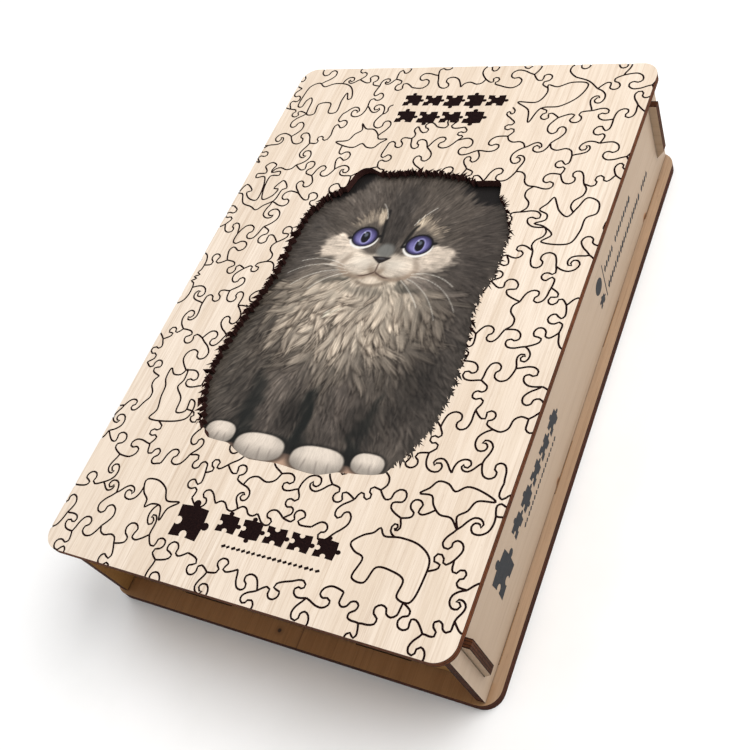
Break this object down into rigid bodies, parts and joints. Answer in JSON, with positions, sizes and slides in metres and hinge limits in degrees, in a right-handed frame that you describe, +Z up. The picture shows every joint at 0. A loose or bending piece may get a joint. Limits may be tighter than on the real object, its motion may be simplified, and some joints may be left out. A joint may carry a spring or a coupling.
{
  "type": "boxed jigsaw puzzle",
  "caption": "Flat book-shaped plywood box with a lift-off lid, a kitten picture set in a fur-edged window, and an interlocking wooden jigsaw laid inside.",
  "frame": {"origin": "on the surface the box stands on, under the middle of the base panel", "axes": "+Y along the box towards the top of the picture, +X to the picture's right, +Z up through the lid"},
  "size_m": [0.151, 0.2246, 0.0471],
  "materials": {
    "lid_veneer": "pale cream veneer with long grain, engraved dark brown lines and laser-burnt edges",
    "wall_board": "matt grey-beige board face, dark brown laser-burnt edges",
    "base_board": "matt tan board face, nearly black laser-burnt edge",
    "picture_board": "thin board printed with a grey and white kitten, low sheen",
    "puzzle_board": "printed plywood pieces with laser-burnt edges"
  },
  "bodies": {
    "box": {"base_panel": "base_board", "long_wall_left": "wall_board", "long_wall_right": "wall_board", "end_wall_near": "wall_board", "end_wall_far": "wall_board"},
    "lid": {"lid_panel": "lid_veneer", "picture_panel": "picture_board"},
    "loose_piece_1_1": {"puzzle_piece_1_1": "puzzle_board"},
    "loose_piece_1_2": {"puzzle_piece_1_2": "puzzle_board"},
    "loose_piece_1_3": {"puzzle_piece_1_3": "puzzle_board"},
    "loose_piece_1_4": {"puzzle_piece_1_4": "puzzle_board"},
    "loose_piece_1_5": {"puzzle_piece_1_5": "puzzle_board"},
    "loose_piece_2_1": {"puzzle_piece_2_1": "puzzle_board"},
    "loose_piece_2_2": {"puzzle_piece_2_2": "puzzle_board"},
    "loose_piece_2_3": {"puzzle_piece_2_3": "puzzle_board"},
    "loose_piece_2_4": {"puzzle_piece_2_4": "puzzle_board"},
    "loose_piece_2_5": {"puzzle_piece_2_5": "puzzle_board"},
    "loose_piece_3_1": {"puzzle_piece_3_1": "puzzle_board"},
    "loose_piece_3_2": {"puzzle_piece_3_2": "puzzle_board"},
    "loose_piece_3_3": {"puzzle_piece_3_3": "puzzle_board"},
    "loose_piece_3_4": {"puzzle_piece_3_4": "puzzle_board"},
    "loose_piece_3_5": {"puzzle_piece_3_5": "puzzle_board"},
    "loose_piece_4_1": {"puzzle_piece_4_1": "puzzle_board"},
    "loose_piece_4_2": {"puzzle_piece_4_2": "puzzle_board"},
    "loose_piece_4_3": {"puzzle_piece_4_3": "puzzle_board"},
    "loose_piece_4_4": {"puzzle_piece_4_4": "puzzle_board"},
    "loose_piece_4_5": {"puzzle_piece_4_5": "puzzle_board"},
    "loose_piece_5_1": {"puzzle_piece_5_1": "puzzle_board"},
    "loose_piece_5_2": {"puzzle_piece_5_2": "puzzle_board"},
    "loose_piece_5_3": {"puzzle_piece_5_3": "puzzle_board"},
    "loose_piece_5_4": {"puzzle_piece_5_4": "puzzle_board"},
    "loose_piece_5_5": {"puzzle_piece_5_5": "puzzle_board"},
    "loose_piece_6_1": {"puzzle_piece_6_1": "puzzle_board"},
    "loose_piece_6_2": {"puzzle_piece_6_2": "puzzle_board"},
    "loose_piece_6_3": {"puzzle_piece_6_3": "puzzle_board"},
    "loose_piece_6_4": {"puzzle_piece_6_4": "puzzle_board"},
    "loose_piece_6_5": {"puzzle_piece_6_5": "puzzle_board"},
    "loose_piece_7_1": {"puzzle_piece_7_1": "puzzle_board"},
    "loose_piece_7_2": {"puzzle_piece_7_2": "puzzle_board"},
    "loose_piece_7_3": {"puzzle_piece_7_3": "puzzle_board"},
    "loose_piece_7_4": {"puzzle_piece_7_4": "puzzle_board"},
    "loose_piece_7_5": {"puzzle_piece_7_5": "puzzle_board"},
    "loose_piece_8_1": {"puzzle_piece_8_1": "puzzle_board"},
    "loose_piece_8_2": {"puzzle_piece_8_2": "puzzle_board"},
    "loose_piece_8_3": {"puzzle_piece_8_3": "puzzle_board"},
    "loose_piece_8_4": {"puzzle_piece_8_4": "puzzle_board"},
    "loose_piece_8_5": {"puzzle_piece_8_5": "puzzle_board"},
    "loose_piece_9_1": {"puzzle_piece_9_1": "puzzle_board"},
    "loose_piece_9_2": {"puzzle_piece_9_2": "puzzle_board"},
    "loose_piece_9_3": {"puzzle_piece_9_3": "puzzle_board"},
    "loose_piece_9_4": {"puzzle_piece_9_4": "puzzle_board"},
    "loose_piece_9_5": {"puzzle_piece_9_5": "puzzle_board"}
  },
  "joints": [
    {"name": "lid_lift", "type": "slide", "parent": "box", "child": "lid", "axis": [0, 0, 1], "range_m": [0, 0.09]},
    {"name": "piece_lift_1_1", "type": "slide", "parent": "box", "child": "loose_piece_1_1", "axis": [0, 0, 1], "range_m": [0, 0.03]},
    {"name": "piece_lift_1_2", "type": "slide", "parent": "box", "child": "loose_piece_1_2", "axis": [0, 0, 1], "range_m": [0, 0.03]},
    {"name": "piece_lift_1_3", "type": "slide", "parent": "box", "child": "loose_piece_1_3", "axis": [0, 0, 1], "range_m": [0, 0.03]},
    {"name": "piece_lift_1_4", "type": "slide", "parent": "box", "child": "loose_piece_1_4", "axis": [0, 0, 1], "range_m": [0, 0.03]},
    {"name": "piece_lift_1_5", "type": "slide", "parent": "box", "child": "loose_piece_1_5", "axis": [0, 0, 1], "range_m": [0, 0.03]},
    {"name": "piece_lift_2_1", "type": "slide", "parent": "box", "child": "loose_piece_2_1", "axis": [0, 0, 1], "range_m": [0, 0.03]},
    {"name": "piece_lift_2_2", "type": "slide", "parent": "box", "child": "loose_piece_2_2", "axis": [0, 0, 1], "range_m": [0, 0.03]},
    {"name": "piece_lift_2_3", "type": "slide", "parent": "box", "child": "loose_piece_2_3", "axis": [0, 0, 1], "range_m": [0, 0.03]},
    {"name": "piece_lift_2_4", "type": "slide", "parent": "box", "child": "loose_piece_2_4", "axis": [0, 0, 1], "range_m": [0, 0.03]},
    {"name": "piece_lift_2_5", "type": "slide", "parent": "box", "child": "loose_piece_2_5", "axis": [0, 0, 1], "range_m": [0, 0.03]},
    {"name": "piece_lift_3_1", "type": "slide", "parent": "box", "child": "loose_piece_3_1", "axis": [0, 0, 1], "range_m": [0, 0.03]},
    {"name": "piece_lift_3_2", "type": "slide", "parent": "box", "child": "loose_piece_3_2", "axis": [0, 0, 1], "range_m": [0, 0.03]},
    {"name": "piece_lift_3_3", "type": "slide", "parent": "box", "child": "loose_piece_3_3", "axis": [0, 0, 1], "range_m": [0, 0.03]},
    {"name": "piece_lift_3_4", "type": "slide", "parent": "box", "child": "loose_piece_3_4", "axis": [0, 0, 1], "range_m": [0, 0.03]},
    {"name": "piece_lift_3_5", "type": "slide", "parent": "box", "child": "loose_piece_3_5", "axis": [0, 0, 1], "range_m": [0, 0.03]},
    {"name": "piece_lift_4_1", "type": "slide", "parent": "box", "child": "loose_piece_4_1", "axis": [0, 0, 1], "range_m": [0, 0.03]},
    {"name": "piece_lift_4_2", "type": "slide", "parent": "box", "child": "loose_piece_4_2", "axis": [0, 0, 1], "range_m": [0, 0.03]},
    {"name": "piece_lift_4_3", "type": "slide", "parent": "box", "child": "loose_piece_4_3", "axis": [0, 0, 1], "range_m": [0, 0.03]},
    {"name": "piece_lift_4_4", "type": "slide", "parent": "box", "child": "loose_piece_4_4", "axis": [0, 0, 1], "range_m": [0, 0.03]},
    {"name": "piece_lift_4_5", "type": "slide", "parent": "box", "child": "loose_piece_4_5", "axis": [0, 0, 1], "range_m": [0, 0.03]},
    {"name": "piece_lift_5_1", "type": "slide", "parent": "box", "child": "loose_piece_5_1", "axis": [0, 0, 1], "range_m": [0, 0.03]},
    {"name": "piece_lift_5_2", "type": "slide", "parent": "box", "child": "loose_piece_5_2", "axis": [0, 0, 1], "range_m": [0, 0.03]},
    {"name": "piece_lift_5_3", "type": "slide", "parent": "box", "child": "loose_piece_5_3", "axis": [0, 0, 1], "range_m": [0, 0.03]},
    {"name": "piece_lift_5_4", "type": "slide", "parent": "box", "child": "loose_piece_5_4", "axis": [0, 0, 1], "range_m": [0, 0.03]},
    {"name": "piece_lift_5_5", "type": "slide", "parent": "box", "child": "loose_piece_5_5", "axis": [0, 0, 1], "range_m": [0, 0.03]},
    {"name": "piece_lift_6_1", "type": "slide", "parent": "box", "child": "loose_piece_6_1", "axis": [0, 0, 1], "range_m": [0, 0.03]},
    {"name": "piece_lift_6_2", "type": "slide", "parent": "box", "child": "loose_piece_6_2", "axis": [0, 0, 1], "range_m": [0, 0.03]},
    {"name": "piece_lift_6_3", "type": "slide", "parent": "box", "child": "loose_piece_6_3", "axis": [0, 0, 1], "range_m": [0, 0.03]},
    {"name": "piece_lift_6_4", "type": "slide", "parent": "box", "child": "loose_piece_6_4", "axis": [0, 0, 1], "range_m": [0, 0.03]},
    {"name": "piece_lift_6_5", "type": "slide", "parent": "box", "child": "loose_piece_6_5", "axis": [0, 0, 1], "range_m": [0, 0.03]},
    {"name": "piece_lift_7_1", "type": "slide", "parent": "box", "child": "loose_piece_7_1", "axis": [0, 0, 1], "range_m": [0, 0.03]},
    {"name": "piece_lift_7_2", "type": "slide", "parent": "box", "child": "loose_piece_7_2", "axis": [0, 0, 1], "range_m": [0, 0.03]},
    {"name": "piece_lift_7_3", "type": "slide", "parent": "box", "child": "loose_piece_7_3", "axis": [0, 0, 1], "range_m": [0, 0.03]},
    {"name": "piece_lift_7_4", "type": "slide", "parent": "box", "child": "loose_piece_7_4", "axis": [0, 0, 1], "range_m": [0, 0.03]},
    {"name": "piece_lift_7_5", "type": "slide", "parent": "box", "child": "loose_piece_7_5", "axis": [0, 0, 1], "range_m": [0, 0.03]},
    {"name": "piece_lift_8_1", "type": "slide", "parent": "box", "child": "loose_piece_8_1", "axis": [0, 0, 1], "range_m": [0, 0.03]},
    {"name": "piece_lift_8_2", "type": "slide", "parent": "box", "child": "loose_piece_8_2", "axis": [0, 0, 1], "range_m": [0, 0.03]},
    {"name": "piece_lift_8_3", "type": "slide", "parent": "box", "child": "loose_piece_8_3", "axis": [0, 0, 1], "range_m": [0, 0.03]},
    {"name": "piece_lift_8_4", "type": "slide", "parent": "box", "child": "loose_piece_8_4", "axis": [0, 0, 1], "range_m": [0, 0.03]},
    {"name": "piece_lift_8_5", "type": "slide", "parent": "box", "child": "loose_piece_8_5", "axis": [0, 0, 1], "range_m": [0, 0.03]},
    {"name": "piece_lift_9_1", "type": "slide", "parent": "box", "child": "loose_piece_9_1", "axis": [0, 0, 1], "range_m": [0, 0.03]},
    {"name": "piece_lift_9_2", "type": "slide", "parent": "box", "child": "loose_piece_9_2", "axis": [0, 0, 1], "range_m": [0, 0.03]},
    {"name": "piece_lift_9_3", "type": "slide", "parent": "box", "child": "loose_piece_9_3", "axis": [0, 0, 1], "range_m": [0, 0.03]},
    {"name": "piece_lift_9_4", "type": "slide", "parent": "box", "child": "loose_piece_9_4", "axis": [0, 0, 1], "range_m": [0, 0.03]},
    {"name": "piece_lift_9_5", "type": "slide", "parent": "box", "child": "loose_piece_9_5", "axis": [0, 0, 1], "range_m": [0, 0.03]}
  ]
}
